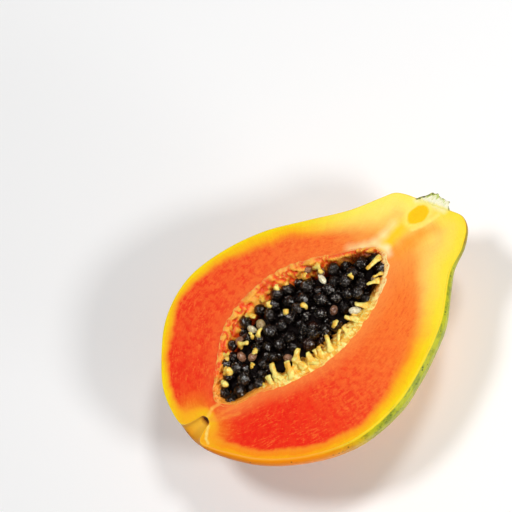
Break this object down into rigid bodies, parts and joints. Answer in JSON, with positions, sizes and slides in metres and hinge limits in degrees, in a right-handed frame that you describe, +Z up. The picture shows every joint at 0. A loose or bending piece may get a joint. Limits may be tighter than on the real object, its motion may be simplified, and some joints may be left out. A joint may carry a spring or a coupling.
{
  "type": "papaya half",
  "caption": "Pear-shaped papaya halved lengthways, lying on its back with the cut face up, its cavity filled with dark seeds.",
  "frame": {"origin": "middle of the footprint of the whole half fruit, on the surface that its rounded back lies on", "axes": "+X along the fruit from the blossom end to the stem end, +Z up, square to the level cut face, +Y across the fruit"},
  "size_m": [0.1654, 0.12, 0.0567],
  "materials": {
    "flesh_and_skin": "moist orange-red flesh, yellow towards the skin and the neck; skin yellow with green patches",
    "placenta": "soft moist orange-yellow tissue",
    "seed": "wet, wrinkled, nearly black",
    "stem": "pale green where broken, browning at the edges"
  },
  "bodies": {
    "root": {"fruit_half": "flesh_and_skin", "placenta": "placenta", "seeds": "seed", "stem_stump": "stem"}
  },
  "joints": []
}
